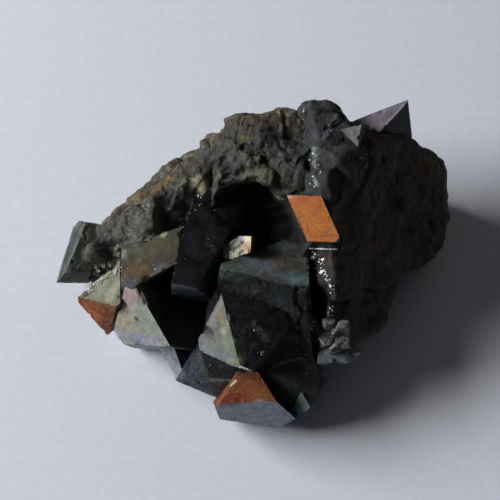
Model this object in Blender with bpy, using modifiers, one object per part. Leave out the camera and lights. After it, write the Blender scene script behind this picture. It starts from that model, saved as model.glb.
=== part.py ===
"""Magnetite specimen: black octahedral crystals grown together on a lump of greenish rock.

Every crystal is a block cleaved along the eight {111} faces of a turned octahedron, plus the
flat contacts where it stopped against its neighbours. The rock lumps are blocks broken along
a few fracture planes, joined, then roughened. Metres, +Z up, resting on Z = 0.
"""

import math

import bmesh
import bpy
from mathutils import Euler, Vector, noise

MM = 0.001
GAP = 0.3 * MM             # clearance between two pieces that touch
BLOCK = 120 * MM           # uncut block that a piece is cleaved from
ORIGIN_MM = (0.9, 0.1)     # middle of the footprint, in the frame the centres are given in
FLOOR_LIFT_MM = 1.2        # how far the crystals stay above the surface under the specimen

ROCK_GRAIN = 3.0 * MM      # facet size of the roughened rock
ROCK_RELIEF = 0.9 * MM     # height of its bumps
ROCK_WAVE = 7.0 * MM       # spacing of its bumps

# The eight octahedron faces, named by the signs of their normals along the crystal's axes.
OCTAHEDRON = {
    "+++": (1, 1, 1), "-++": (-1, 1, 1), "+-+": (1, -1, 1), "++-": (1, 1, -1),
    "---": (-1, -1, -1), "+--": (1, -1, -1), "-+-": (-1, 1, -1), "--+": (-1, -1, 1),
}

# Each crystal: centre in mm, turn of its axes in degrees, the distance from the centre to each
# face it shows in mm, and its contacts as (azimuth, elevation, distance).
CRYSTALS = {
    "pale_left": dict(
        centre=(-21.5, -9.5, 9.0), turn=(22, 7, -150),
        faces={"+++": 7.9, "-++": 8.6, "+-+": 5.4, "++-": 6.9, "---": 5.1, "--+": 10.1, "+--": 9.4},
        contacts=[(166, 8, 4.5), (-143, -19, 6.6)]),
    "olive_top": dict(
        centre=(-20.0, -2.0, 18.0), turn=(42, -46, 59),
        faces={"+++": 6.1, "--+": 3.9, "-++": 8.4, "+-+": 8.6, "---": 5.9, "+--": 7.6, "-+-": 7.4},
        contacts=[(111, 34, 4.2), (-179, 3, 5.5)]),
    "pale_middle": dict(
        centre=(-2.5, -18.5, 17.0), turn=(24, 22, -173),
        faces={"+++": 4.8, "-++": 5.9, "+-+": 5.6, "++-": 5.5, "---": 6.2, "+--": 5.1,
               "-+-": 7.4, "--+": 7.5},
        contacts=[(-167, -1, 7.5)]),
    "black_middle": dict(
        centre=(5.0, -14.0, 11.0), turn=(7, -41, -20),
        faces={"+++": 13.2, "+-+": 8.4, "++-": 10.0, "---": 7.8, "-+-": 8.5, "--+": 16.0},
        contacts=[(113, 28, 15.9), (2, 8, 8.1), (-50, -21, 15.0), (173, 11, 13.8)]),
    "black_back": dict(
        centre=(-6.5, 8.5, 13.0), turn=(22, 7, -150),
        faces={"-++": 8.9, "+--": 7.1},
        contacts=[(147, 17, 5.8), (170, 6, 6.2), (122, 32, 8.2), (-96, -18, 16.7), (-21, 6, 5.4),
                  (0, -90, 10.0), (80, 0, 9.0)]),
    "low_left": dict(
        centre=(-13.5, -20.0, 5.5), turn=(18, 3, -160),
        faces={"+++": 4.2, "-++": 3.5, "---": 2.8, "--+": 3.2, "++-": 2.3},
        contacts=[(-154, -14, 1.9)]),
    "low_middle": dict(
        centre=(-6.0, -22.0, 6.0), turn=(56, -34, -36),
        faces={"+++": 5.4, "+-+": 4.7, "-++": 7.3, "---": 3.6, "-+-": 7.3, "+--": 10.7, "++-": 3.9},
        contacts=[(-118, -27, 4.1)]),
    "bottom": dict(
        centre=(0.5, -28.0, 6.5), turn=(56, -34, -36),
        faces={"+++": 6.8, "+-+": 4.2, "-++": 6.1, "++-": 5.4, "---": 3.2, "-+-": 6.8,
               "+--": 8.9, "--+": 7.6},
        contacts=[(90, 27, 6.1), (-101, -27, 4.3), (-161, -5, 7.2), (-56, -26, 6.9)]),
    "low_right": dict(
        centre=(11.0, -27.0, 7.0), turn=(22, 7, -150),
        faces={"+++": 4.1, "-++": 3.1, "+-+": 1.7, "++-": 3.1, "---": 3.9, "+--": 3.9, "--+": 3.9},
        contacts=[(-33, -17, 1.6)]),
    "rusty_left": dict(
        centre=(-27.5, -8.0, 12.0), turn=(50, -12, -178),
        faces={"+++": 4.3, "++-": 4.1, "-+-": 4.0, "+--": 5.2, "-++": 5.0, "+-+": 4.0,
               "---": 4.7, "--+": 4.9},
        contacts=[]),
    "left_tip": dict(
        centre=(-34.5, 4.5, 9.0), turn=(116, -32, -128),
        faces={"+++": 3.1, "++-": 5.2, "+--": 6.6, "-++": 6.5, "--+": 5.8},
        contacts=[(169, 6, 3.5), (-94, -36, 5.8), (77, 29, 6.4), (-17, -9, 3.4)]),
    "orange_faced": dict(
        centre=(12.5, 0.0, 29.0), turn=(63, -16, -108),
        faces={"+++": 3.9, "-++": 5.2, "+-+": 3.3, "-+-": 2.4, "+--": 3.3, "++-": 8.6,
               "--+": 5.4, "---": 5.1},
        contacts=[]),
    "upper_right": dict(
        centre=(26.5, 24.5, 22.5), turn=(61, -12, -117),
        faces={"+++": 7.6, "++-": 5.4, "-+-": 6.2, "---": 5.4, "--+": 7.6},
        contacts=[(113, 28, 4.4), (-164, -9, 5.6)]),
    "small_corner": dict(
        centre=(20.5, 18.5, 31.0), turn=(63, -10, -115),
        faces={"+++": 3.1, "---": 2.9},
        contacts=[(-141, -14, 1.4), (103, 29, 1.8), (-15, 13, 2.2)]),
    "small_yellow": dict(
        centre=(-2.5, -0.5, 19.5), turn=(0, 0, 0),
        faces={},
        contacts=[(-163, 65, 2.9), (127, 25, 1.9), (-3, 5, 3.1), (-71, -23, 2.0), (180, 0, 2.8),
                  (-122, -20, 3.2), (68, -58, 3.6), (87, 30, 2.5)]),
    "crest": dict(
        centre=(14.5, 22.5, 25.5), turn=(0, 0, 0),
        faces={},
        contacts=[(139, 21, 6.9), (97, 30, 6.6), (67, 28, 6.2), (27, 15, 5.9), (-162, 38, 7.1),
                  (-36, 75, 8.1), (-71, 18, 10.0), (-146, -5, 5.7), (0, -90, 11.5), (90, 0, 6.5)]),
}

# The pieces and the crystals in each, in the order they took their place: a later piece is cut
# back by the earlier. Crystals that grew into one another are one solid.
CRYSTAL_PIECES = {
    "main_crystal_group": ["black_middle", "pale_left", "olive_top", "pale_middle", "black_back",
                           "low_left", "low_middle", "low_right"],
    "bottom_crystal": ["bottom"],
    "orange_faced_crystal": ["orange_faced"],
    "rusty_left_crystal": ["rusty_left"],
    "left_tip_crystal": ["left_tip"],
    "upper_right_crystal": ["upper_right"],
    "crest_crystals": ["crest", "small_corner"],
    "small_yellow_crystal": ["small_yellow"],
}

# Each rock piece is one or more broken lumps: a centre in mm and its fractures as
# (azimuth, elevation, distance). SEAM is the plane where the two rock pieces meet.
SEAM = (-18, 0, 8.8)
ROCKS = {
    "matrix_rock": [
        dict(centre=(-13.0, 6.5, 12.5),
             contacts=[(0, -90, 14.0), (128, 24, 13.3), (165, 9, 17.5), (157, 64, 12.9),
                       (-117, 63, 12.8), (-58, 62, 9.9), (-99, 19, 10.0), (90, 11, 18.3),
                       (135, -17, 13.3), (-129, -20, 20.0), (0, 0, 30.0)]),
        dict(centre=(2.5, 18.0, 20.0),
             contacts=[(0, -90, 21.5), (152, 15, 11.8), (88, 30, 10.6), (175, 3, 10.3),
                       (-150, 73, 10.8), (90, 86, 11.1), (-90, 39, 13.2), (-90, -3, 14.0),
                       (84, 6, 9.7), (79, -30, 12.4), (0, 0, 20.0)]),
    ],
    "right_mass": [
        dict(centre=(24.5, 10.5, 15.0),
             contacts=[(0, -90, 16.5), (-28, 39, 7.9), (0, 0, 16.4), (-56, -26, 14.3),
                       (-154, 28, 19.0), (78, 60, 16.9), (-70, -28, 15.2), (124, 57, 19.7),
                       (84, 6, 13.9), (49, -23, 19.8), (180, 0, 20.0)]),
        dict(centre=(16.5, -8.5, 7.0),
             contacts=[(0, -90, 8.5), (-35, 36, 10.0), (-22, -12, 9.6), (-154, 28, 9.2),
                       (90, 30, 12.9), (-56, -29, 6.4), (180, 0, 16.0)]),
    ],
}

COLOURS = {
    "magnetite": ((0.05, 0.055, 0.06, 1), 0.35),
    "rusty": ((0.55, 0.22, 0.08, 1), 0.6),
    "pale": ((0.75, 0.68, 0.45, 1), 0.5),
    "rock": ((0.22, 0.22, 0.16, 1), 0.85),
}
PAINT = {"orange_faced_crystal": "rusty", "rusty_left_crystal": "rusty",
         "small_yellow_crystal": "pale", "matrix_rock": "rock"}


def remove_everything():
    """Start from an empty file."""
    for item in list(bpy.data.objects):
        bpy.data.objects.remove(item, do_unlink=True)


def collection(name):
    """A new collection in the scene."""
    made = bpy.data.collections.new(name)
    bpy.context.scene.collection.children.link(made)
    return made


def material(name):
    """A Principled material with the colour and roughness of one kind of surface."""
    made = bpy.data.materials.get(name)
    if made:
        return made
    made = bpy.data.materials.new(name)
    made.use_nodes = True
    colour, roughness = COLOURS[name]
    shader = made.node_tree.nodes["Principled BSDF"]
    shader.inputs["Base Color"].default_value = colour
    shader.inputs["Roughness"].default_value = roughness
    shader.inputs["Metallic"].default_value = 0.0
    return made


def direction(azimuth, elevation):
    """Unit vector at an azimuth from +X and an elevation above the horizon, in degrees."""
    a, e = math.radians(azimuth), math.radians(elevation)
    return Vector((math.cos(a) * math.cos(e), math.sin(a) * math.cos(e), math.sin(e)))


def in_frame(centre_mm):
    """A centre in metres, with the middle of the footprint at the origin."""
    return Vector((centre_mm[0] - ORIGIN_MM[0], centre_mm[1] - ORIGIN_MM[1], centre_mm[2])) * MM


def crystal_planes(crystal):
    """Normal and distance of every flat of a crystal: its octahedron faces and its contacts."""
    turn = Euler([math.radians(angle) for angle in crystal.get("turn", (0, 0, 0))]).to_matrix()
    planes = []
    for face, reach in crystal.get("faces", {}).items():
        planes.append((turn @ Vector(OCTAHEDRON[face]).normalized(), reach * MM))
    for azimuth, elevation, reach in crystal["contacts"]:
        planes.append((direction(azimuth, elevation), reach * MM))
    return planes


def cleave(bm, point, normal):
    """Split off everything beyond a plane and close the cut with one flat face."""
    geometry = bm.verts[:] + bm.edges[:] + bm.faces[:]
    cut = bmesh.ops.bisect_plane(bm, geom=geometry, dist=1e-7, plane_co=point, plane_no=normal,
                                 clear_outer=True)
    rim = [item for item in cut["geom_cut"] if isinstance(item, bmesh.types.BMEdge)]
    if rim:
        bmesh.ops.holes_fill(bm, edges=rim, sides=0)


def cleaved_block(piece, grow=0.0):
    """A closed block around the piece's centre, cleaved along all its planes."""
    bm = bmesh.new()
    bmesh.ops.create_cube(bm, size=BLOCK)
    for normal, reach in crystal_planes(piece):
        cleave(bm, normal * (reach + grow), normal)
    bmesh.ops.translate(bm, verts=bm.verts, vec=in_frame(piece["centre"]))
    return bm


def new_object(name, bm, group, paint):
    """An object from a finished mesh, in a collection, with its material."""
    bmesh.ops.recalc_face_normals(bm, faces=bm.faces)
    mesh = bpy.data.meshes.new(name)
    bm.to_mesh(mesh)
    bm.free()
    made = bpy.data.objects.new(name, mesh)
    made.data.materials.append(material(paint))
    group.objects.link(made)
    return made


def crystal(name, grow=0.0):
    """The mesh of one crystal, kept clear of the surface that the specimen rests on."""
    bm = cleaved_block(CRYSTALS[name], grow)
    cleave(bm, Vector((0, 0, FLOOR_LIFT_MM * MM - grow)), Vector((0, 0, -1)))
    return bm


def as_cutter(thing):
    """Mark an object as one that only shapes others."""
    thing.hide_render = True
    thing.display_type = "WIRE"
    return thing


def boolean(target, other, operation):
    """Union with, or cut by, another object."""
    modifier = target.modifiers.new(operation.lower(), "BOOLEAN")
    modifier.operation = operation
    modifier.solver = "EXACT"
    modifier.object = other


def roughen(bm):
    """Push the rock's surface in and out by noise of two sizes."""
    bm.normal_update()
    moves = []
    for vertex in bm.verts:
        place = vertex.co / ROCK_WAVE
        height = noise.noise(place) + 0.5 * noise.noise(place * 2.3 + Vector((5, 1, 9)))
        moves.append(vertex.normal * height * ROCK_RELIEF)
    for vertex, move in zip(bm.verts, moves):
        vertex.co += move


def rock_mesh(lumps, cutters):
    """Broken lumps joined into one, remeshed evenly and roughened."""
    base = new_object("lump", cleaved_block(lumps[0]), cutters, "rock")
    for lump in lumps[1:]:
        other = as_cutter(new_object("other_lump", cleaved_block(lump), cutters, "rock"))
        boolean(base, other, "UNION")
    remesh = base.modifiers.new("grain", "REMESH")
    remesh.mode = "VOXEL"
    remesh.voxel_size = ROCK_GRAIN
    graph = bpy.context.evaluated_depsgraph_get()
    bm = bmesh.new()
    bm.from_mesh(base.evaluated_get(graph).to_mesh())
    bpy.data.objects.remove(base, do_unlink=True)
    roughen(bm)
    return bm


def largest_shell(bm):
    """Drop the chips that a socket breaks off, and keep the one big body."""
    bmesh.ops.remove_doubles(bm, verts=bm.verts, dist=0.001 * MM)
    left = set(bm.faces)
    shells = []
    while left:
        shell = {left.pop()}
        front = list(shell)
        while front:
            for edge in front.pop().edges:
                if len(edge.link_faces) != 2:
                    continue
                new = set(edge.link_faces) & left
                left -= new
                shell |= new
                front.extend(new)
        shells.append(shell)
    shells.sort(key=len)
    chips = [face for shell in shells[:-1] for face in shell]
    bmesh.ops.delete(bm, geom=chips, context="FACES")


def apply_modifiers(thing):
    """Turn an object's modifiers into its mesh, without the chips they break off."""
    graph = bpy.context.evaluated_depsgraph_get()
    bm = bmesh.new()
    bm.from_mesh(thing.evaluated_get(graph).to_mesh())
    largest_shell(bm)
    thing.modifiers.clear()
    bm.to_mesh(thing.data)
    bm.free()


def seam_plane(side):
    """Point and outward normal of the seam face of the piece on one side of it."""
    azimuth, elevation, reach = SEAM
    normal = direction(azimuth, elevation)
    outward = normal * side
    return in_frame(normal * reach) - outward * GAP / 2, outward


def build():
    """Make every piece of the specimen."""
    remove_everything()
    specimen = collection("magnetite_specimen")
    cutters = collection("cutters")
    room_shapes = collection("rooms")

    rooms = []
    for piece, names in CRYSTAL_PIECES.items():
        paint = PAINT.get(piece, "magnetite")
        solid = new_object(piece, crystal(names[0]), specimen, paint)
        for name in names[1:]:
            boolean(solid, as_cutter(new_object(name, crystal(name), cutters, paint)), "UNION")
        for room in rooms:
            boolean(solid, room, "DIFFERENCE")
        for name in names:
            room = new_object(name + "_room", crystal(name, GAP), room_shapes, paint)
            rooms.append(as_cutter(room))

    for name, side in (("matrix_rock", 1), ("right_mass", -1)):
        bm = rock_mesh(ROCKS[name], cutters)
        cleave(bm, *seam_plane(side))
        cleave(bm, Vector((0, 0, 0)), Vector((0, 0, -1)))
        rock = new_object(name, bm, specimen, PAINT.get(name, "magnetite"))
        sockets = rock.modifiers.new("sockets", "BOOLEAN")
        sockets.operation = "DIFFERENCE"
        sockets.solver = "EXACT"
        sockets.operand_type = "COLLECTION"
        sockets.collection = room_shapes
        apply_modifiers(rock)


build()
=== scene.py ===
# %% [markdown]
# # Magnetite specimen: crystals on rock
# Black octahedral crystals have grown into each other on a lump of greenish rock. Many faces
# carry a thin pale film, and their pale colour is partly that film and partly painted sheen; a
# few are coated with orange iron oxide, and the right side is a dark mass without good faces.
# The imported model is loaded first and stays as the measure of everything: its box gives the
# size, and each finished piece stands in for one of its nodes.

# %% Load the frame
import math

import bmesh
import bpy
import numpy as np
from mathutils import Euler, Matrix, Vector


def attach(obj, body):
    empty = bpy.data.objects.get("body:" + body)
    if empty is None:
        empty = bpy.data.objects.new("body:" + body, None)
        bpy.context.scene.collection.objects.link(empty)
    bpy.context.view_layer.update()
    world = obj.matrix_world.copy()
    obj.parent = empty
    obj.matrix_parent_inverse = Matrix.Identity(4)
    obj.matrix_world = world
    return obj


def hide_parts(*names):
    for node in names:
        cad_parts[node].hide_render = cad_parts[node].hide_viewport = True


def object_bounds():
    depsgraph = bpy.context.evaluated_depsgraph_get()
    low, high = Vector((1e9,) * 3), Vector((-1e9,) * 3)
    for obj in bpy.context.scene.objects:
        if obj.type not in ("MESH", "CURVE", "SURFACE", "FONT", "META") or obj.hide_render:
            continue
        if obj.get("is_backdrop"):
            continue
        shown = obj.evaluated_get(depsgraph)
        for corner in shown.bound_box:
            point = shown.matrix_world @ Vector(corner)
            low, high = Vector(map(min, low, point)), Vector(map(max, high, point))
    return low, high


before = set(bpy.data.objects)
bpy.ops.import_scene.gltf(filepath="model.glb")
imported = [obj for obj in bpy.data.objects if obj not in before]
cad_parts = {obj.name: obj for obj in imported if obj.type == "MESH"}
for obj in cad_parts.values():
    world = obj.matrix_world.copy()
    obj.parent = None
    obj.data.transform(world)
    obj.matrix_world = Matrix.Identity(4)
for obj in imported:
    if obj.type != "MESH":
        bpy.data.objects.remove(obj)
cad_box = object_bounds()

MM = 0.001
BODY = "root"
scene = bpy.context.scene
print("frame nodes:", sorted(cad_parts))

# %% [markdown]
# ## Noise on arrays
# Broken rock and worn edges follow no formula, so they are made with noise. A hash turns each
# corner of a lattice into a fixed number, and smooth mixing between the corners gives noise
# that is the same in every run. The same hash scatters one point per lattice cell, which
# splits a surface into angular blocks, as fracture does.

# %% Lattice noise and cells

CELL_FACTORS = (73856093, 19349663, 83492791)      # large odd numbers, one for each axis
SEED_FACTOR = 2654435761
STIRS = ((13, 1274126177), (16, 2246822519))       # bits to shift by, then a factor
LOW_BITS = 0xFFFFFFFF
LEVELS = 1000003                                   # how many different numbers can come out

BORDER_WARP = 0.25        # how far block borders stray, in block sizes
WARP_SIZE = 0.6           # over what length they do, in block sizes
BORDER_STEEPNESS = 22.0   # how quickly one block gives way to the next
BLOCK_LIFT = 0.6          # how high a block's middle lies, up or down
BLOCK_TILT = 1.3          # how steep its plane is
TINY = 1e-12


def smooth_step(x):
    """0 below 0, 1 above 1, and 3x^2 - 2x^3 between."""
    x = np.clip(x, 0, 1)
    return x * x * (3 - 2 * x)


def hashed(cells, seed):
    """A fixed number from 0 to 1 for each integer cell (..., 3): its bits mixed by odd factors."""
    c = np.asarray(cells, dtype=np.int64)
    h = seed * SEED_FACTOR
    for axis, factor in enumerate(CELL_FACTORS):
        h = h ^ c[..., axis] * factor
    for shift, factor in STIRS:
        h = (h ^ (h >> shift)) * factor & LOW_BITS
    return (h ^ (h >> 15)) % LEVELS / LEVELS


def noise(points, size, seed=0):
    """Smooth noise from -1 to 1: the eight lattice corners around a point, mixed by smooth steps."""
    p = points / size
    base = np.floor(p).astype(np.int64)
    f = smooth_step(p - base)
    total = np.zeros(p.shape[:-1])
    for corner in np.ndindex(2, 2, 2):
        weight = np.prod(np.where(np.array(corner), f, 1 - f), axis=-1)
        total += weight * hashed(base + np.array(corner), seed)
    return total * 2 - 1


def layered(points, size, octaves, seed=0):
    """Noise summed over octaves, each half the size and half the strength of the one before."""
    return sum(noise(points, size / 2**k, seed + k) / 2**k for k in range(octaves))


def blocks(points, size, seed=0):
    """Fracture blocks: each point takes the tilted plane of its nearest scattered cell centre.

    Near a border the planes of the cells mix by exp(-steepness x distance), so that a step
    between two blocks is a steep slope and not a tear. The points are first shifted by noise,
    so that the borders aren't straight. Heights are about -1 to 1.
    """
    p = points / size
    p = p + BORDER_WARP * np.stack([noise(p, WARP_SIZE, seed + k) for k in (11, 12, 13)], -1)
    base = np.floor(p).astype(np.int64)
    total = np.zeros(p.shape[:-1])
    share = np.full(p.shape[:-1], TINY)
    for step in np.ndindex(3, 3, 3):
        cell = base + np.array(step) - 1
        centre = cell + np.stack([hashed(cell, seed + k) for k in (1, 2, 3)], -1)
        tilt = np.stack([hashed(cell, seed + k) for k in (4, 5, 6)], -1) * 2 - 1
        away = p - centre
        weight = np.exp(-BORDER_STEEPNESS * np.linalg.norm(away, axis=-1))
        lift = (hashed(cell, seed + 7) * 2 - 1) * BLOCK_LIFT
        total += weight * (lift + BLOCK_TILT * (tilt * away).sum(-1))
        share += weight
    return total / share


print("noise at three places:", noise(np.eye(3) * 5.0, 2.0).round(3))

# %% [markdown]
# ## Materials
# Every material is a small tree of nodes. The colour starts as a ramp over a noise pattern,
# then stains, shades and flecks go over it one after another, as they do on the real thing.
# Patterns lie on the object's own coordinates, so they stay with the piece from every side.

# %% Colour and node helpers

PAINT = {"data_type": "RGBA"}                              # a mix that covers one colour
SHADE = {"data_type": "RGBA", "blend_type": "MULTIPLY"}    # a mix that darkens or lightens it


def linear(code):
    """An sRGB hex colour as the linear RGBA that shaders use. A plain number is that grey."""
    if not isinstance(code, str):
        return [code, code, code, 1]
    srgb = [int(code[k:k + 2], 16) / 255 for k in (1, 3, 5)]
    return [c / 12.92 if c <= 0.04045 else ((c + 0.055) / 1.055) ** 2.4 for c in srgb] + [1.0]


def add(tree, kind, inputs, output, stops=(), **settings):
    """Add a node with its settings, inputs and links, and give back the output that is named.

    An input is a number, a hex colour, or the output that feeds it. The stops of a ramp are
    (position, colour) pairs.
    """
    node = tree.nodes.new("ShaderNode" + kind)
    for name, value in settings.items():
        setattr(node, name, value)
    for socket, value in inputs.items():
        if isinstance(value, bpy.types.NodeSocket):
            tree.links.new(value, node.inputs[socket])
        else:
            node.inputs[socket].default_value = linear(value) if isinstance(value, str) else value
    if stops:
        elements = node.color_ramp.elements
        for _ in stops[2:]:
            elements.new(0.5)
        for element, (position, colour) in zip(elements, stops):
            element.position = position
            element.color = linear(colour)
    return node.outputs[output] if output else node


def per_mm(size):
    """Texture scale for a pattern whose spots are size millimetres across."""
    return 1 / (size * MM)


def new_material(name, *patterns):
    """An empty material with its tree, the object coordinates and its noise patterns.

    A pattern is (mm across, detail, roughness) and comes back as a number from 0 to 1.
    """
    made = bpy.data.materials.new(name)
    made.use_nodes = True
    tree = made.node_tree
    tree.nodes.clear()
    place = add(tree, "TexCoord", {}, "Object")
    noises = [add(tree, "TexNoise", {"Vector": place, "Scale": per_mm(size), "Detail": detail,
                                     "Roughness": rough}, "Fac")
              for size, detail, rough in patterns]
    return made, tree, place, *noises


def even_stops(colours, low=0.32, high=0.68):
    """Ramp stops spread evenly from low to high."""
    steps = len(colours) - 1
    return [(low + (high - low) * k / steps, colour) for k, colour in enumerate(colours)]


print("a middle grey in linear light:", round(linear("#808080")[0], 3))

# %% [markdown]
# What goes over the ground colour is the same few steps in every material. A stain follows
# the piece, so its points carry it; on some pieces they also carry painted shade and painted
# highlights. Shades and covers follow a pattern. The last step gives the surface its relief,
# as bump, because it is too fine for the mesh.

# %% Layers over a colour

FEW = [(0.52, 0.0), (0.6, 1.0)]   # keeps about a third of the flecks


def stained_and_painted(tree, colour):
    """Lay the piece's own stains and painted light, which its points carry, over a colour."""
    weight = add(tree, "Attribute", {}, "Fac", attribute_name="stain_and_painted_light")
    stain_and_painted_light = add(tree, "Attribute", {}, "Color", attribute_name="stain_and_painted_light_colour")
    return add(tree, "Mix", {"Factor": weight, "A": colour, "B": stain_and_painted_light}, "Result", **PAINT)


def shaded(tree, colour, pattern, stops):
    """Darken or lighten a colour by the greys that the stops give a pattern."""
    grey = add(tree, "ValToRGB", {"Fac": pattern}, "Color", stops)
    return add(tree, "Mix", {"Factor": 1.0, "A": colour, "B": grey}, "Result", **SHADE)


def covered(tree, colour, pattern, stops, cover):
    """Hide a colour under another one, as far as the stops say for a pattern."""
    weight = add(tree, "ValToRGB", {"Fac": pattern}, "Color", stops)
    return add(tree, "Mix", {"Factor": weight, "A": colour, "B": cover}, "Result", **PAINT)


def flecked(tree, place, colour, spacing, stops, fleck):
    """Scatter small flecks over a colour, one in about a third of the cells of a pattern."""
    cells = add(tree, "TexVoronoi", {"Vector": place, "Scale": per_mm(spacing)}, None)
    weight = add(tree, "ValToRGB", {"Fac": cells.outputs["Distance"]}, "Color", stops)
    weight = shaded(tree, weight, cells.outputs["Color"], FEW)
    return add(tree, "Mix", {"Factor": weight, "A": colour, "B": fleck}, "Result", **PAINT)


def surface(tree, relief, strength, depth, inputs):
    """Close a material: a bump of depth mm from a relief pattern, and the shader's inputs."""
    bump = add(tree, "Bump", {"Height": relief, "Strength": strength, "Distance": depth * MM},
               "Normal")
    shader = add(tree, "BsdfPrincipled", {"Normal": bump, **inputs}, "BSDF")
    add(tree, "OutputMaterial", {"Surface": shader}, None)


print("layers:", [layer.__name__ for layer in (stained_and_painted, shaded, covered, flecked)])

# %% [markdown]
# ### Crystal faces, bare and filmed
# Magnetite is a black iron oxide whose smooth crystal faces have a dull metallic shine. A thin
# film of clay or oxide hides the black and scatters light, so a filmed face looks pale when
# light reaches it. One recipe serves all crystal faces, because they are the same mineral with
# more or less film on it, and even the barest ones keep some. The palest finishes go on the
# faces turned towards the lamp and the bright table, so their pale colour is partly film and
# partly painted sheen. Patches a few millimetres wide tint the film, small spots where it has
# worn off let the black through, and fine growth marks roughen the reflections.

# %% Magnetite faces

FILM_IOR = 1.5
FILM_PATCH = (5.0, 4.0, 0.6)     # broad patches of film colour: mm across, detail, roughness
FILM_MOTTLE = (1.3, 6.0, 0.75)   # mottling within a patch
FILM_SPOT = (0.8, 5.0, 0.7)      # spots where the film is worn through
FLECK = 1.0                      # mm between bright flecks, drawn coarser than real dust
WORN_AT = 0.66                   # pattern level below which a face without film is black
COVER_GAIN = 0.4                 # how far a full film lowers that level


def magnetite_face(name, tints, cover, black="#101213", shine=0.34, dullness=0.6, flecks=0.5):
    """Magnetite under a film: tints are its colours, cover is how much of the face it hides.

    Shine is the roughness of the worn spots, dullness that of the film.
    """
    made, tree, place, patch, mottle, spots = new_material(name, FILM_PATCH, FILM_MOTTLE,
                                                           FILM_SPOT)
    film = stained_and_painted(tree, add(tree, "ValToRGB", {"Fac": patch}, "Color", even_stops(tints)))
    film = shaded(tree, film, mottle, [(0.3, 0.55), (0.7, 1.4)])
    level = WORN_AT - COVER_GAIN * cover
    whole = add(tree, "ValToRGB", {"Fac": spots}, "Color", [(level - 0.07, 0.0),
                                                            (level + 0.09, 1.0)])
    colour = add(tree, "Mix", {"Factor": whole, "A": black, "B": film}, "Result", **PAINT)
    colour = flecked(tree, place, colour, FLECK, [(0.06, flecks), (0.15, 0.0)], "#b9bdb4")
    rough = add(tree, "MapRange", {"Value": whole, "To Min": shine, "To Max": dullness}, "Result")
    relief = add(tree, "Math", {0: spots, 1: mottle}, "Value", operation="ADD")
    surface(tree, relief, 0.5, 0.08, {"Base Color": colour, "Roughness": rough, "IOR": FILM_IOR})
    return made


FACES = {
    "bare": magnetite_face("bare_magnetite", ["#1b2021", "#101312", "#262b2c", "#191817"], 0.6,
                           black="#07090a", shine=0.42, dullness=0.5, flecks=0.4),
    "dim": magnetite_face("blue_black_magnetite", ["#464e57", "#30373c", "#5d646c", "#443f3b"],
                          0.7, black="#101316", dullness=0.5, flecks=0.6),
    "dusky": magnetite_face("dusky_magnetite", ["#414643", "#353530", "#4b5155", "#403b36"],
                            0.75, dullness=0.5),
    "smoky": magnetite_face("smoky_magnetite", ["#535a57", "#47463f", "#5e666a", "#534c45"],
                            0.85, dullness=0.5),
    # pale, thinly filmed, green, blue-grey and violet-grey: partly film, partly painted sheen
    "pale": magnetite_face("pale_film_and_painted_sheen_magnetite",
                           ["#7e8379", "#878983", "#918a86", "#84878a", "#858272"], 1.0),
    "pale_dim": magnetite_face("thin_film_and_painted_sheen_magnetite",
                               ["#50544d", "#595b55", "#636157", "#565a5b", "#5d5a4b"], 1.0),
    "pale_green": magnetite_face("green_film_and_painted_sheen_magnetite",
                                 ["#4c5547", "#596052", "#605c49", "#525c51"], 1.0),
    "teal": magnetite_face("teal_filmed_magnetite", ["#475355", "#535f61", "#495652"], 0.95),
    "blue_grey": magnetite_face("blue_grey_film_and_painted_sheen_magnetite",
                                ["#767d88", "#858b98", "#7a7e86", "#8d919d"], 1.0),
    "violet_grey": magnetite_face("violet_grey_film_and_painted_sheen_magnetite",
                                  ["#575756", "#625c68", "#5a4f57", "#66686c"], 0.9),
    "olive": magnetite_face("olive_filmed_magnetite",
                            ["#292b1f", "#363423", "#2e2719", "#32372a"], 0.95),
    "streaky": magnetite_face("streaky_filmed_magnetite",
                              ["#2e3531", "#4b514e", "#232926", "#41463f"], 0.85),
}
print("crystal face finishes:", sorted(FACES))

# %% [markdown]
# ### Iron oxide coat
# A few faces are covered by goethite and hematite, which weather out of magnetite as a thin,
# earthy, orange to red-brown coat. It is dull, slightly granular, and redder where thick.

# %% Rust coat

RUST_PATCH = (2.2, 6.0, 0.75)    # patches of orange: mm across, detail, roughness
RUST_POWDER = (0.4, 4.0, 0.7)    # powdery grain, drawn coarser than the real one
RUST_FLECK = 0.6                 # mm between paler grains


def rust_coat(name, tints, dark):
    """An earthy iron oxide crust: patches of several oranges, paler and darker grains."""
    made, tree, place, patch, powder = new_material(name, RUST_PATCH, RUST_POWDER)
    colour = stained_and_painted(tree, add(tree, "ValToRGB", {"Fac": patch}, "Color", even_stops(tints)))
    colour = shaded(tree, colour, powder, [(0.32, 0.6), (0.68, 1.3)])
    colour = covered(tree, colour, powder, [(0.3, 1.0), (0.38, 0.0)], dark)
    colour = flecked(tree, place, colour, RUST_FLECK, [(0.08, 0.7), (0.2, 0.0)], "#d9b58a")
    surface(tree, powder, 0.6, 0.1, {"Base Color": colour, "Roughness": 0.75, "IOR": 1.4})
    return made


FACES["orange"] = rust_coat("orange_iron_oxide", ["#94510f", "#a8621c", "#8c4c1a", "#a36f1e"],
                            "#3a2415")
FACES["red_brown"] = rust_coat("red_brown_iron_oxide",
                               ["#6c3614", "#83491e", "#5c2e18", "#8c5c2c"], "#1c110c")
print("rust coats:", FACES["orange"].name, FACES["red_brown"].name)

# %% [markdown]
# ### Rock and massive magnetite
# The rock is a fine mix of chlorite, feldspar and clay: grey-green, weathered yellow-brown on
# its old outer edge. Each vertex carries how weathered it is, and painted shade that grows with
# how deep in a hollow or cave it lies, worked out with its shape, so that colour and relief
# agree. The massive magnetite is the same kind of broken surface in dark brownish greys.

# %% Rock materials

ROCK_PATCH = (4.0, 6.0, 0.7)     # patches of one mineral: mm across, detail, roughness
ROCK_MOTTLE = (1.5, 6.0, 0.75)   # mottling, which also colours the weathered skin
ROCK_GRAIN = (0.5, 3.0, 0.7)     # grain, drawn coarser than the real one
SPECK = 1.6                      # mm between dark mineral specks


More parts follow.
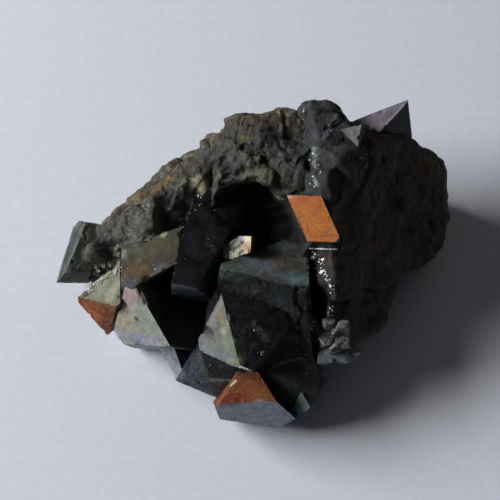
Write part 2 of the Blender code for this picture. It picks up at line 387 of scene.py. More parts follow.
def rock_material(name, fresh, weathered, speck, roughness, contrast):
    """Broken rock: fresh colours by noise, weathered colours by attribute, dark mineral specks, and
    painted shade in hollows, also by attribute.
    """
    made, tree, place, patch, mottle, grain = new_material(name, ROCK_PATCH, ROCK_MOTTLE,
                                                           ROCK_GRAIN)
    weather, hollow_shade = [add(tree, "Attribute", {}, "Fac", attribute_name=label)
                       for label in ("weathering", "hollow_shade")]
    specks = add(tree, "TexVoronoi", {"Vector": place, "Scale": per_mm(SPECK)}, "Distance")
    clean = add(tree, "ValToRGB", {"Fac": patch}, "Color", even_stops(fresh))
    old = add(tree, "ValToRGB", {"Fac": mottle}, "Color", even_stops(weathered, 0.36, 0.64))
    colour = add(tree, "Mix", {"Factor": weather, "A": clean, "B": old}, "Result", **PAINT)
    colour = stained_and_painted(tree, colour)
    colour = shaded(tree, colour, mottle, [(0.34, contrast[0]), (0.66, contrast[1])])
    colour = covered(tree, colour, specks, [(0.12, 0.85), (0.3, 0.0)], speck)
    # painted shade: the deeper a point lies in a hollow or cave, the darker its colour
    colour = shaded(tree, colour, hollow_shade, [(0.0, 1.0), (1.0, 0.15)])
    colour = shaded(tree, colour, grain, [(0.3, 0.7), (0.7, 1.3)])
    relief = add(tree, "Math", {0: mottle, 1: grain}, "Value", operation="ADD")
    surface(tree, relief, 0.8, 0.2, {"Base Color": colour, "Roughness": roughness, "IOR": 1.55})
    return made


MATRIX = rock_material("chloritic_rock",
                       ["#14181a", "#333e39", "#47472a", "#181c1b", "#55584d", "#352b1f",
                        "#2b312a"],
                       ["#2e2717", "#564d33", "#171510", "#69634a", "#3d2c17"], "#0b0d0e", 0.75,
                       (0.35, 1.5))
MASSIVE = rock_material("massive_magnetite", ["#272826", "#332f2a", "#292b29", "#38332d"],
                        ["#3c2a1c", "#4a3826", "#2f241b", "#3c2f22"], "#0e0f10", 0.8,
                        (0.75, 1.25))
print("rock materials:", MATRIX.name, MASSIVE.name)

# %% [markdown]
# ### Pale minerals
# Quartz is glassy and carbonate waxy. Light enters both a little and comes out again, so
# their edges stay bright; subsurface scattering of about half a millimetre does that.

# %% Pale minerals

GRAIN_PATCH = (1.6, 5.0, 0.65)   # clouds inside a grain: mm across, detail, roughness
GLOW_DEPTH = 0.6                 # mm that light travels inside
GLOW_COLOURS = (1.0, 0.8, 0.6)   # red goes furthest


def pale_mineral(name, tints, roughness, ior, glow):
    """A waxy or glassy pale grain, cloudy in several tints, that glows a little inside."""
    made, tree, place, patch = new_material(name, GRAIN_PATCH)
    tint = add(tree, "ValToRGB", {"Fac": patch}, "Color", even_stops(tints, 0.3, 0.7))
    surface(tree, patch, 0.4, 0.1,
            {"Base Color": stained_and_painted(tree, tint), "Roughness": roughness, "IOR": ior,
             "Subsurface Weight": glow, "Subsurface Scale": GLOW_DEPTH * MM,
             "Subsurface Radius": GLOW_COLOURS})
    return made


CARBONATE = pale_mineral("pale_yellow_carbonate",
                         ["#8f9078", "#a7a48a", "#6d6248", "#b9b8a6", "#8c7a52"], 0.4, 1.6, 0.2)
QUARTZ = pale_mineral("milky_quartz", ["#46484a", "#615f5b", "#37393b", "#837f78", "#544a40"],
                      0.3, 1.54, 0.3)
LEDGE = pale_mineral("blue_grey_quartz", ["#5c6469", "#747b80", "#50585d", "#80868a"], 0.4,
                     1.54, 0.2)
# near-white chips: quartz whose colour stands for painted glints
GLINT = pale_mineral("quartz_chips_painted_glints", ["#c9ccc8", "#f2f4f0", "#dfe0d8", "#ffffff"], 0.08,
                     1.55, 0.1)
FACES["carbonate"] = CARBONATE
print("pale minerals:", [mineral.name for mineral in (CARBONATE, QUARTZ, LEDGE, GLINT)])

# %% [markdown]
# ## Crystal faces as surfaces
# A crystal is the space inside its face planes. A block is cleaved along the planes to find
# each face's corners. Then every face becomes a sheet of its own on a grid: one parameter
# runs along the rim, the other from the middle of the face out to the rim. Neighbouring
# sheets share their rim points, so the sheets close into one skin with sharp edges.

# %% Planes, cleaving and corners

ORIGIN = np.array([0.9, 0.1, 0.0])    # mm, middle of the footprint in the survey frame
FLOOR_LIFT = 1.2                      # mm, how far crystals stay above the table
BLOCK = 120.0                         # mm, uncut block
SNAP = 1e-5                           # mm, how near a cut a point counts as on it
TURN_MISS = 50                        # mm of miss that a face turned right round counts

OCTAHEDRON = {
    "+++": (1, 1, 1), "-++": (-1, 1, 1), "+-+": (1, -1, 1), "++-": (1, 1, -1),
    "---": (-1, -1, -1), "+--": (1, -1, -1), "-+-": (-1, 1, -1), "--+": (-1, -1, 1),
}


def direction(azimuth, elevation):
    """Unit vector at an azimuth from +X and an elevation above the horizon, in degrees."""
    a, e = math.radians(azimuth), math.radians(elevation)
    return np.array([math.cos(a) * math.cos(e), math.sin(a) * math.cos(e), math.sin(e)])


def face_planes(turn, faces, contacts, centre):
    """Rows of (label, outward normal, distance from the centre) of a crystal's flats, in mm."""
    matrix = np.array(Euler([math.radians(angle) for angle in turn]).to_matrix())
    rows = []
    for label, reach in faces.items():
        rows.append((label, matrix @ np.array(OCTAHEDRON[label]) / math.sqrt(3), reach))
    for number, (azimuth, elevation, reach) in enumerate(contacts):
        rows.append((number, direction(azimuth, elevation), reach))
    rows.append(("floor", np.array([0.0, 0.0, -1.0]), centre[2] - FLOOR_LIFT))
    return rows


def face_corners(rows):
    """The corners of each flat, counter-clockwise from outside, by cleaving a block."""
    bm = bmesh.new()
    bmesh.ops.create_cube(bm, size=BLOCK)
    for _, normal, reach in rows:
        everything = bm.verts[:] + bm.edges[:] + bm.faces[:]
        cut = bmesh.ops.bisect_plane(bm, geom=everything, dist=SNAP, clear_outer=True,
                                     plane_co=Vector(normal * reach), plane_no=Vector(normal))
        rim = [item for item in cut["geom_cut"] if isinstance(item, bmesh.types.BMEdge)]
        if rim:
            bmesh.ops.holes_fill(bm, edges=rim, sides=0)
    bmesh.ops.recalc_face_normals(bm, faces=bm.faces)
    flats = []
    for face in bm.faces:
        normal = np.array(face.normal)
        middle = np.array(face.calc_center_median())
        miss = [abs(middle @ n - reach) + (1 - normal @ n) * TURN_MISS for _, n, reach in rows]
        row = rows[int(np.argmin(miss))]
        flats.append((row[0], row[1], np.array([v.co for v in face.verts])))
    bm.free()
    return flats


octahedron = face_corners(face_planes((0, 0, 0), dict.fromkeys(OCTAHEDRON, 5.0), (), (0, 0, 20)))
print("an even octahedron has", len(octahedron), "faces")

# %% [markdown]
# Real faces aren't perfectly flat. Layers of growth end in low steps that run parallel to the
# rim, the surface between them waves very slightly, and sharp edges have small chips.

# %% One face as a sheet

STEP_HEIGHT = (0.015, 0.05)  # mm, lowest and highest growth step
STEP_WIDTH = 0.25            # mm, over which a step rises
FIRST_STEP = 0.25            # mm, least distance between steps
STEP_SPREAD = 0.25           # most that is added to it, as a share of the face's radius
LINE_WAVE = 0.08             # how far step lines stray, as a share of their distance to the rim
LINE_NOISE = (4.0, 31)       # mm across and seed of the noise that bends them
SWELL = 0.05                 # mm, height of the slight waves
SWELL_NOISE = (2.5, 3, 41)   # their mm across, octaves and seed
CHIP = 0.7                   # mm, depth of the deepest chips on an edge
CHIPS = [(0.8, 51, 0.25, 1, 0.3), (2.6, 53, 0.5, 2, 0.7)]  # size, seed, threshold, gain, reach


def face_sheet(corners, normal, core, spacing, steps, draw):
    """Grid of points on a face: middle + t (rim(s) - middle), plus steps and chips.

    s runs along the rim and t from the middle (0) to the rim (1). Growth steps raise a point
    along the normal where its distance to the rim passes each step's inset. Chips pull points
    near the rim towards the crystal's core by noise that fades with distance to the rim.
    """
    sides = np.roll(corners, -1, axis=0) - corners
    lengths = np.linalg.norm(sides, axis=1)
    counts = np.maximum(2, np.rint(lengths / spacing)).astype(int)
    rim = np.concatenate([corner + side * np.arange(count)[:, None] / count
                          for corner, side, count in zip(corners, sides, counts)])
    middle = corners.mean(axis=0)
    radius = np.linalg.norm(corners - middle, axis=1).mean()
    rings = max(4, int(radius / spacing))
    t = np.linspace(0, 1, rings + 1)[:, None, None]
    grid = middle + t * (rim - middle)
    inward = np.cross(normal, sides / lengths[:, None])
    to_side = ((grid[:, :, None, :] - corners) * inward).sum(-1)
    to_rim = np.clip(to_side.min(-1), 0, None)

    wavy = to_rim * (1 + LINE_WAVE * noise(grid, *LINE_NOISE))
    height = SWELL * layered(grid, *SWELL_NOISE) * smooth_step(to_rim)
    inset = 0.0
    for _ in range(steps):
        inset += FIRST_STEP + draw.uniform(0, STEP_SPREAD * radius)
        height += draw.uniform(*STEP_HEIGHT) * smooth_step((wavy - inset) / STEP_WIDTH)
    chipped = np.zeros(to_rim.shape)
    for size, seed, threshold, gain, reach in CHIPS:
        rough = np.clip(noise(grid, size, seed) - threshold, 0, 1) * gain
        chipped += rough * np.exp(-(to_rim / reach) ** 2)
    pull = core - grid
    pull /= np.linalg.norm(pull, axis=-1, keepdims=True)
    return grid + normal * height[..., None] + pull * (CHIP * chipped)[..., None]


def sheet_quads(rings, around):
    """Quads of a grid whose second direction closes on itself."""
    index = np.arange(rings * around).reshape(rings, around)
    nxt = np.roll(index, -1, axis=1)
    quads = np.stack([index[:-1], index[1:], nxt[1:], nxt[:-1]], -1)
    return quads.reshape(-1, 4)


_, facing, rim_corners = octahedron[0]
trial = face_sheet(rim_corners, facing, np.zeros(3), 0.5, 3, np.random.default_rng(1))
print("one of its faces as a sheet:", trial.shape[:2], "points")

# %% [markdown]
# The arrays become one mesh for each crystal. Sheets that meet share their rim points, so
# merging the points that coincide closes the skin. Edges that are steep enough stay sharp.

# %% Meshes from arrays

WELD = 0.002           # mm, points closer than this become one
CRYSTAL_SHARP = 35     # degrees between two faces from which their edge stays sharp


def skin(name, points, quads, slots=None, values=None, weld=WELD):
    """A closed object from arrays in mm: coincident points are welded, then faces turned out.

    Slots gives each face its material. Values maps an attribute's name to a number per point.
    """
    mesh = bpy.data.meshes.new(name)
    mesh.from_pydata((points * MM).tolist(), [], quads.tolist())
    if slots is not None:
        mesh.polygons.foreach_set("material_index", slots)
    for label, numbers in (values or {}).items():
        attribute = mesh.attributes.new(label, "FLOAT", "POINT")
        attribute.data.foreach_set("value", numbers.astype(np.float32))
    bm = bmesh.new()
    bm.from_mesh(mesh)
    bmesh.ops.remove_doubles(bm, verts=bm.verts, dist=weld * MM)
    bmesh.ops.recalc_face_normals(bm, faces=bm.faces)
    bm.to_mesh(mesh)
    bm.free()
    made = bpy.data.objects.new(name, mesh)
    scene.collection.objects.link(made)
    return made


def finish_piece(piece, nodes, sharp=CRYSTAL_SHARP):
    """Smooth shading with sharp crystal edges, then the ties to the frame."""
    piece.data.shade_smooth()
    piece.data.set_sharp_from_angle(angle=math.radians(sharp))
    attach(piece, BODY)
    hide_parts(*nodes)
    triangles = sum(len(p.vertices) - 2 for p in piece.data.polygons)
    low, high = np.array(piece.bound_box).min(0) / MM, np.array(piece.bound_box).max(0) / MM
    print(piece.name, triangles, "triangles", low.round(1), high.round(1))


def grow_crystal(name, centre, turn, faces, contacts, coats=None, coat="bare", steps=3, seed=0,
                 node=None, spacing=0.3):
    """Build one crystal: coats maps a face's label to its finish, coat is for all the others."""
    coats = coats or {}
    draw = np.random.default_rng(seed)
    centre = np.array(centre)
    rows = face_planes(turn, faces, contacts, centre)
    finishes = sorted({coat, *coats.values()})
    points, quads, slots, count = [], [], [], 0
    for label, normal, corners in face_corners(rows):
        grid = face_sheet(corners, normal, np.zeros(3), spacing, steps, draw)
        sheet = sheet_quads(*grid.shape[:2])
        points.append(grid.reshape(-1, 3))
        quads.append(sheet + count)
        slots.append(np.full(len(sheet), finishes.index(coats.get(label, coat))))
        count += grid.shape[0] * grid.shape[1]
    points = np.concatenate(points) + centre - ORIGIN
    crystal = skin(name, points, np.concatenate(quads), np.concatenate(slots))
    for finish in finishes:
        crystal.data.materials.append(FACES[finish])
    finish_piece(crystal, [node])


# %% [markdown]
# ## The crystals
# Each crystal is given by its centre, the turn of its axes and the distance from the centre to
# each face, so the octahedra come out lopsided as real ones do. Contacts are flats where a
# crystal stopped against its neighbours. The eight that grew into each other stand for one
# node of the frame.

# %% The main group

GROUP = "main_crystal_group"

grow_crystal("pale_left_crystal", (-21.5, -9.5, 9.0), (22, 7, -150),
             {"+++": 7.9, "-++": 8.6, "+-+": 5.4, "++-": 6.9, "---": 5.1, "--+": 10.1,
              "+--": 9.4}, [(166, 8, 4.5), (-143, -19, 6.6)],
             {"+++": "pale", "++-": "blue_grey", "+-+": "blue_grey", 0: "pale", 1: "blue_grey"},
             seed=11, node=GROUP)
grow_crystal("olive_top_crystal", (-20.0, -2.0, 18.0), (42, -46, 59),
             {"+++": 6.1, "--+": 3.9, "-++": 8.4, "+-+": 8.6, "---": 5.9, "+--": 7.6,
              "-+-": 7.4}, [(111, 34, 4.2), (-179, 3, 5.5)], {"+++": "olive"},
             coat="dusky", seed=12, node=GROUP)
grow_crystal("pale_middle_crystal", (-2.5, -18.5, 17.0), (24, 22, -173),
             {"+++": 4.8, "-++": 5.9, "+-+": 5.6, "++-": 5.5, "---": 6.2, "+--": 5.1,
              "-+-": 7.4, "--+": 7.5}, [(-167, -1, 7.5)], {"+++": "pale_dim", 0: "blue_grey"},
             seed=13, node=GROUP)
grow_crystal("black_middle_crystal", (5.0, -14.0, 11.0), (7, -41, -20),
             {"+++": 13.2, "+-+": 8.4, "++-": 10.0, "---": 7.8, "-+-": 8.5, "--+": 16.0},
             [(113, 28, 15.9), (2, 8, 8.1), (-50, -21, 15.0), (173, 11, 13.8)],
             {"+++": "smoky"}, seed=14, node=GROUP, steps=4)
grow_crystal("black_back_crystal", (-6.5, 8.5, 13.0), (22, 7, -150),
             {"-++": 8.9, "+--": 7.1},
             [(147, 17, 5.8), (170, 6, 6.2), (122, 32, 8.2), (-96, -18, 16.7), (-21, 6, 5.4),
              (0, -90, 10.0), (80, 0, 9.0)], coat="dim", seed=15, node=GROUP)
grow_crystal("low_left_crystal", (-13.5, -20.0, 5.5), (18, 3, -160),
             {"+++": 4.2, "-++": 3.5, "---": 2.8, "--+": 3.2, "++-": 2.3}, [(-154, -14, 1.9)],
             {"+++": "blue_grey"}, seed=16, node=GROUP)
grow_crystal("low_middle_crystal", (-6.0, -22.0, 6.0), (56, -34, -36),
             {"+++": 5.4, "+-+": 4.7, "-++": 7.3, "---": 3.6, "-+-": 7.3, "+--": 10.7,
              "++-": 3.9}, [(-118, -27, 4.1)], coat="dusky", seed=17, node=GROUP)
grow_crystal("low_right_crystal", (11.0, -27.0, 7.0), (22, 7, -150),
             {"+++": 4.1, "-++": 3.1, "+-+": 1.7, "++-": 3.1, "---": 3.9, "+--": 3.9,
              "--+": 3.9}, [(-33, -17, 1.6)], {"+++": "teal"}, coat="dusky", seed=18,
             node=GROUP)

# %% [markdown]
# The others stand for nodes of their own: rust on the front one and on the left one, a broad
# orange face, a streaky tip, two violet-grey ones on the upper right, and a pale yellow grain,
# which has no octahedron faces and is bounded by contacts alone.

# %% The single crystals

grow_crystal("rust_topped_crystal", (0.5, -28.0, 6.5), (56, -34, -36),
             {"+++": 6.8, "+-+": 4.2, "-++": 6.1, "++-": 5.4, "---": 3.2, "-+-": 6.8,
              "+--": 8.9, "--+": 7.6},
             [(90, 27, 6.1), (-101, -27, 4.3), (-161, -5, 7.2), (-56, -26, 6.9)],
             {"+++": "red_brown", "+-+": "blue_grey", "-++": "red_brown", 1: "blue_grey"},
             seed=21, node="bottom_crystal")
grow_crystal("orange_crystal", (12.5, 0.0, 29.0), (63, -16, -108),
             {"+++": 3.9, "-++": 5.2, "+-+": 3.3, "-+-": 2.4, "+--": 3.3, "++-": 8.6,
              "--+": 5.4, "---": 5.1}, (), {"+++": "orange", "++-": "streaky"}, seed=22,
             node="orange_faced_crystal")
grow_crystal("green_and_rust_crystal", (-27.5, -8.0, 12.0), (50, -12, -178),
             {"+++": 4.3, "++-": 4.1, "-+-": 4.0, "+--": 5.2, "-++": 5.0, "+-+": 4.0,
              "---": 4.7, "--+": 4.9}, (),
             {"+++": "pale_green", "++-": "red_brown", "+--": "red_brown", "+-+": "pale_green"},
             seed=23, node="rusty_left_crystal")
grow_crystal("streaky_tip_crystal", (-34.5, 4.5, 9.0), (116, -32, -128),
             {"+++": 3.1, "++-": 5.2, "+--": 6.6, "-++": 6.5, "--+": 5.8},
             [(169, 6, 3.5), (-94, -36, 5.8), (77, 29, 6.4), (-17, -9, 3.4)],
             {"+++": "streaky", "++-": "olive", 0: "streaky"}, seed=24,
             node="left_tip_crystal")
grow_crystal("violet_grey_crystal", (26.5, 24.5, 22.5), (61, -12, -117),
             {"+++": 7.6, "++-": 5.4, "-+-": 6.2, "---": 5.4, "--+": 7.6},
             [(113, 28, 4.4), (-164, -9, 5.6)], {"+++": "violet_grey"}, seed=25,
             node="upper_right_crystal")
grow_crystal("small_corner_crystal", (20.5, 18.5, 31.0), (63, -10, -115),
             {"+++": 3.1, "---": 2.9}, [(-141, -14, 1.4), (103, 29, 1.8), (-15, 13, 2.2)],
             {"+++": "violet_grey"}, seed=27, node="crest_crystals", steps=2)
grow_crystal("yellow_grain", (-2.5, -0.5, 19.5), (0, 0, 0), {},
             [(-163, 65, 2.9), (127, 25, 1.9), (-3, 5, 3.1), (-71, -23, 2.0), (180, 0, 2.8),
              (-122, -20, 3.2), (68, -58, 3.6), (87, 30, 2.5)], coat="carbonate", seed=28,
             steps=2, spacing=0.2, node="small_yellow_crystal")

# %% [markdown]
# ## Broken rock
# A lump of rock is nearly convex: it lies within a few fracture planes. Along each direction
# from its middle, the surface is as far out as the planes let it. Blocks of several sizes then
# break it up, and noise pits and crumbles it. Six square sheets, folded round the lump like
# the sides of a cube, cover it evenly.

# %% Lumps of rock

EDGE_SHARPNESS = 22     # how crisply fracture planes meet
ROCK_SHARP = 50         # degrees between two faces from which their edge stays sharp
# The hollow and cave numbers below set where painted shade darkens the rock's colour.
HOLLOW_DEPTH = 1.3      # mm of relief from where a hollow starts to where it is darkest
HOLLOW_START = 0.15     # share of that depth that stays light
CAVE_RIM = 1.4          # how far out a cave starts, in its half widths
CAVE_WAVE = 0.3         # how far its rim strays, as a share
CAVE_WAVE_SIZE = 3.0    # mm, over what length it does
CAVE_DARK = 1.8         # how quickly a cave darkens with its depth
CAVE_LIGHT = 0.4        # how far down it stays light, on the same scale


def cube_directions(count):
    """Unit directions on six (count x count) sheets: axis + tan(a) e1 + tan(b) e2, normalised."""
    a = np.tan(np.linspace(-math.pi / 4, math.pi / 4, count))
    u, v = np.meshgrid(a, a, indexing="ij")
    sheets = []
    for axis in range(3):
        for sign in (1, -1):
            parts = [None] * 3
            parts[axis] = np.full_like(u, sign)
            parts[(axis + 1) % 3] = u * sign
            parts[(axis + 2) % 3] = v
            sheets.append(np.stack(parts, -1))
    d = np.stack(sheets)
    return d / np.linalg.norm(d, axis=-1, keepdims=True)


def cube_quads(count):
    """Quads of the six sheets."""
    index = np.arange(6 * count * count).reshape(6, count, count)
    quads = np.stack([index[:, :-1, :-1], index[:, 1:, :-1], index[:, 1:, 1:],
                      index[:, :-1, 1:]], -1)
    return quads.reshape(-1, 4)


def lump_surface(towards, fractures):
    """How far out the fracture planes let the surface be along each direction, and its normal.

    The distance is one over the p-norm of (n . u) / d over the planes, with p the edge
    sharpness; the normal blends the plane normals by the same terms at a third of p, so it
    turns gently over the edges.
    """
    normals = np.array([direction(azimuth, elevation) for azimuth, elevation, _ in fractures])
    reaches = np.array([reach for *_, reach in fractures])
    closeness = np.clip(towards @ normals.T, 0, None) / reaches
    radius = 1 / (closeness**EDGE_SHARPNESS).sum(-1) ** (1 / EDGE_SHARPNESS)
    share = (closeness * radius[:, None]) ** (EDGE_SHARPNESS / 3)
    outward = share @ (normals / reaches[:, None])
    return radius, outward / np.linalg.norm(outward, axis=1, keepdims=True)


def rock_lump(name, centre, fractures, relief, count, weathering, material, node, seed,
              caves=()):
    """Surface: centre + u (radius(u) + relief), cut flat at the table; relief sums the layers.

    Count is the points along each side of a sheet. A layer of relief is (mm across, mm high,
    octaves), and no octaves means fracture blocks. Low relief gets painted shade. A cave is a
    place, a half width and a depth; it lowers the surface by a smooth bowl with painted shade
    inside. Weathering is a function of the points.
    """
    towards = cube_directions(count).reshape(-1, 3)
    middle = np.array(centre) - ORIGIN
    radius, outward = lump_surface(towards, fractures)
    points = middle + towards * radius[:, None]
    raised = np.zeros(len(points))
    for size, height, octaves in relief:
        layer = layered(points, size, octaves, seed) if octaves else blocks(points, size, seed)
        raised += height * layer
    # painted shade where the relief sinks
    hollow_shade = smooth_step(-raised / HOLLOW_DEPTH - HOLLOW_START)
    for place, width, depth in caves:
        away = np.linalg.norm((points - (np.array(place) - ORIGIN)) / np.array(width), axis=1)
        ragged = away * (1 + CAVE_WAVE * noise(points, CAVE_WAVE_SIZE, seed + 5))
        sunk = smooth_step(CAVE_RIM - ragged)
        # painted shade inside the cave
        hollow_shade = np.maximum(hollow_shade, smooth_step(CAVE_DARK * sunk - CAVE_LIGHT))
        points = points - towards * (depth * sunk)[:, None]
    points = points + outward * raised[:, None]
    points[:, 2] = np.clip(points[:, 2], 0, None)
    lump = skin(name, points, cube_quads(count),
                values={"hollow_shade": hollow_shade, "weathering": weathering(points)})
    lump.data.materials.append(material)
    finish_piece(lump, [node], ROCK_SHARP)


print("six sheets of 4 x 4 points have", len(cube_quads(4)), "quads")

# %% [markdown]
# The outer left and upper margin of the rock is its old weathered skin, so weathering grows
# towards that side and breaks up with noise. The massive magnetite is stained brown in spots,
# and the crest is fresh. A cave opens the hollow in the middle, where several lumps meet.

# %% The rock and the massive magnetite

SKIN_SIDE = direction(120, 10)
SKIN_FROM = 21.0     # mm towards that side where weathering starts
SKIN_WIDTH = 2.5     # mm over which it grows to full
SKIN_WAVE = 2.0      # mm by which noise moves its border
SKIN_NOISE = (5.0, 3, 71)     # mm across, octaves and seed of that noise
SPOTS_FROM = 0.35    # noise level where a brown spot starts
SPOTS_WIDTH = 0.3    # how much more noise makes it full
SPOTS_NOISE = (6.0, 4, 83)


def old_skin(points):
    """Weathering, 0 to 1: how far a point lies towards the old side, broken up by noise."""
    lean = points @ SKIN_SIDE + SKIN_WAVE * layered(points, *SKIN_NOISE)
    return smooth_step((lean - SKIN_FROM) / SKIN_WIDTH)


def unweathered(points):
    """No weathering anywhere."""
    return np.zeros(len(points))


def rusty_spots(points):
    """Brown stains on the massive magnetite: noise above a threshold."""
    return smooth_step((layered(points, *SPOTS_NOISE) - SPOTS_FROM) / SPOTS_WIDTH)


ROCK_RELIEF = [(9.0, 1.3, 0), (4.0, 0.55, 0), (1.7, 0.2, 0), (7.0, 0.5, 4), (0.8, 0.07, 2)]
MASS_RELIEF = [(11.0, 1.0, 0), (4.5, 0.35, 0), (1.9, 0.12, 0), (9.0, 0.5, 4), (0.8, 0.04, 2)]
CREST_RELIEF = [(5.0, 0.7, 0), (2.2, 0.25, 0), (0.7, 0.05, 2)]
FINE, MEDIUM, COARSE = 120, 100, 90     # points along each side of a sheet

rock_lump("matrix_rock_left", (-13.0, 6.5, 12.5),
          [(0, -90, 14.0), (128, 24, 13.3), (165, 9, 17.5), (157, 64, 12.9), (-117, 63, 12.8),
           (-58, 62, 9.9), (-99, 19, 10.0), (90, 11, 18.3), (135, -17, 13.3),
           (-129, -20, 20.0), (0, 0, 30.0)],
          ROCK_RELIEF, FINE, old_skin, MATRIX, "matrix_rock", 91,
          caves=[((2.5, 6.5, 19.5), (8.0, 6.5, 7.0), 5.0)])
rock_lump("matrix_rock_right", (2.5, 18.0, 20.0),
          [(0, -90, 21.5), (152, 15, 11.8), (88, 30, 10.6), (175, 3, 10.3), (-150, 73, 10.8),
           (90, 86, 11.1), (-90, 39, 13.2), (-90, -3, 14.0), (84, 6, 9.7), (79, -30, 12.4),
           (0, 0, 20.0)],
          ROCK_RELIEF, FINE, old_skin, MATRIX, "matrix_rock", 92,
          caves=[((1.5, 5.0, 19.0), (9.0, 6.5, 10.0), 9.0)])
rock_lump("right_mass_upper", (24.5, 10.5, 15.0),
          [(0, -90, 16.5), (-28, 39, 7.9), (0, 0, 16.4), (-56, -26, 14.3), (-154, 28, 19.0),
           (78, 60, 16.9), (-70, -28, 15.2), (124, 57, 19.7), (84, 6, 13.9), (49, -23, 19.8),
           (180, 0, 20.0)],
          MASS_RELIEF, FINE, rusty_spots, MASSIVE, "right_mass", 93,
          caves=[((7.5, 4.0, 23.0), (6.5, 6.5, 9.0), 7.5),
                 ((12.5, -4.0, 20.0), (4.0, 4.0, 8.0), 4.0)])
rock_lump("crest_crystal", (14.5, 22.5, 25.5),
          [(139, 21, 6.9), (97, 30, 6.6), (67, 28, 6.2), (27, 15, 5.9), (-162, 38, 7.1),
           (-36, 75, 8.1), (-71, 18, 10.0), (-146, -5, 5.7), (0, -90, 11.5), (90, 0, 6.5)],
          CREST_RELIEF, COARSE, unweathered, MASSIVE, "crest_crystals", 95)
rock_lump("right_mass_lower", (16.5, -8.5, 7.0),
          [(0, -90, 8.5), (-35, 36, 10.0), (-22, -12, 9.6), (-154, 28, 9.2), (90, 30, 12.9),
           (-56, -29, 6.4), (180, 0, 16.0)],
          MASS_RELIEF, MEDIUM, rusty_spots, MASSIVE, "right_mass", 94,
          caves=[((11.0, -3.5, 22.5), (4.5, 4.5, 7.0), 4.5)])

# %% [markdown]
# ## Camera, light and table
# The specimen is seen from above at 60 degrees, from far enough away for little perspective.
# One broad lamp low on the left rakes across the faces. A weak one stands for the light that a
# wall sends back, so that the far side isn't black.

# %% Camera

AIM = Vector((-0.9, -0.1, 18.0)) * MM
DISTANCE = 0.32       # m
ELEVATION = 60        # degrees above the horizon
LENS = 115.2          # mm
SENSOR = 36.0         # mm
FRAME_SIDE = 500      # pixels across the frame


def put(name, data, location=(0, 0, 0), facing=None, track="Z"):
    """An object in the scene; facing is where its track axis points."""
    made = bpy.data.objects.new(name, data)
    made.location = location
    if facing is not None:
        made.rotation_mode = "QUATERNION"
        made.rotation_quaternion = facing.to_track_quat(track, "Y")
    scene.collection.objects.link(made)
    return made


back = Vector(direction(-90, ELEVATION))
camera_data = bpy.data.cameras.new("camera")
camera_data.lens = LENS
camera_data.sensor_width = SENSOR
camera = put("camera", camera_data, AIM + back * DISTANCE, -back, "-Z")
scene.camera = camera
scene.view_settings.view_transform = "Standard"
print("camera at", tuple(round(c, 4) for c in camera.location))

# %% [markdown]
# An area lamp gives soft shadow edges, as a window does: the broader it is and the nearer it
# stands, the softer they are. The rest of the room is a very dim blue-grey from all round.

# %% Lamps and room

ROOM_LIGHT = 0.055


def lamp(name, azimuth, elevation, distance, width, height, power, colour):
    """A broad soft lamp, like a window, at a direction and distance, turned to the specimen."""
    data = bpy.data.lights.new(name, "AREA")
    data.shape = "RECTANGLE"
    data.size = width
    data.size_y = height
    data.energy = power
    data.color = linear(colour)[:3]
    towards = Vector(direction(azimuth, elevation))
    return put(name, data, AIM + towards * distance, towards)


for light in (lamp("window", 173, 29, 1.0, 0.75, 0.3, 15.5, "#fbfcff"),
              lamp("light_from_the_wall", 55, 22, 1.2, 1.2, 0.8, 0.9, "#efe6dc")):
    print(light.name, "at", [round(c, 2) for c in light.location])
world = bpy.data.worlds.new("dim_room")
world.use_nodes = True
background = world.node_tree.nodes["Background"]
background.inputs["Color"].default_value = linear("#c8ccd8")
background.inputs["Strength"].default_value = ROOM_LIGHT
scene.world = world

# %% [markdown]
# The table is a wide sheet of matt pale paper, so wide that its far edge never shows behind
# the specimen. It is only a stage and no part of the specimen.

# %% Table

TABLE_HALF = 3.0              # m
FIBRES = (1.5, 4.0, 0.5)      # cloudiness of the paper: mm across, detail, roughness

paper, tree, _, fibres = new_material("matt_grey_paper", FIBRES)
tone = add(tree, "ValToRGB", {"Fac": fibres}, "Color", [(0.3, "#dcdfe6"), (0.7, "#e2e5ec")])
shader = add(tree, "BsdfPrincipled", {"Base Color": tone, "Roughness": 0.9}, "BSDF")
add(tree, "OutputMaterial", {"Surface": shader}, None)
table_mesh = bpy.data.meshes.new("table_top")
table_mesh.from_pydata([(x * TABLE_HALF, y * TABLE_HALF, 0)
                        for x, y in ((-1, -1), (1, -1), (1, 1), (-1, 1))], [], [(0, 1, 2, 3)])
table_mesh.materials.append(paper)
table_top = put("table_top", table_mesh)
table_top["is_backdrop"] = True
print("table", 2 * TABLE_HALF, "m across")

# %% [markdown]
# ## Small grains
# Quartz and carbonate sit in the cracks between the crystals as broken grains. Each is an
# irregular block of twelve triangles, partly sunk in what carries it. A line of sight through
# a named place in the frame finds the surface that the grain sits on.

# %% Seats on the surface


def seat(column, row):
    """Where the line of sight through a place in the frame meets the specimen, and the normal.

    The line runs from the camera along (column - half, half - row, -reach), with the reach in
    pixels too. The seat is in mm; there is none where the line meets the table.
    """
    reach = FRAME_SIDE * LENS / SENSOR
    ahead = Vector((column - FRAME_SIDE / 2, FRAME_SIDE / 2 - row, -reach)).normalized()
    hit, spot, normal, _, owner, _ = scene.ray_cast(
        bpy.context.evaluated_depsgraph_get(), camera.location,
        camera.rotation_quaternion @ ahead)
    if not hit or owner.name == table_top.name:
        return None
    return np.array(spot) / MM, np.array(normal)


def seats_along(places):
    """Seats at the places that meet the specimen."""
    found = [seat(column, row) for column, row in places]
    return [one for one in found if one is not None]


print("middle of the frame lies on", seat(FRAME_SIDE / 2, FRAME_SIDE / 2)[0].round(1), "mm")

# %% [markdown]
# Chips of this size are mostly hidden, so each is only a cube whose corners are moved at
# random, turned to the surface and lifted a little. All the chips of one group are one mesh.

# %% Grains

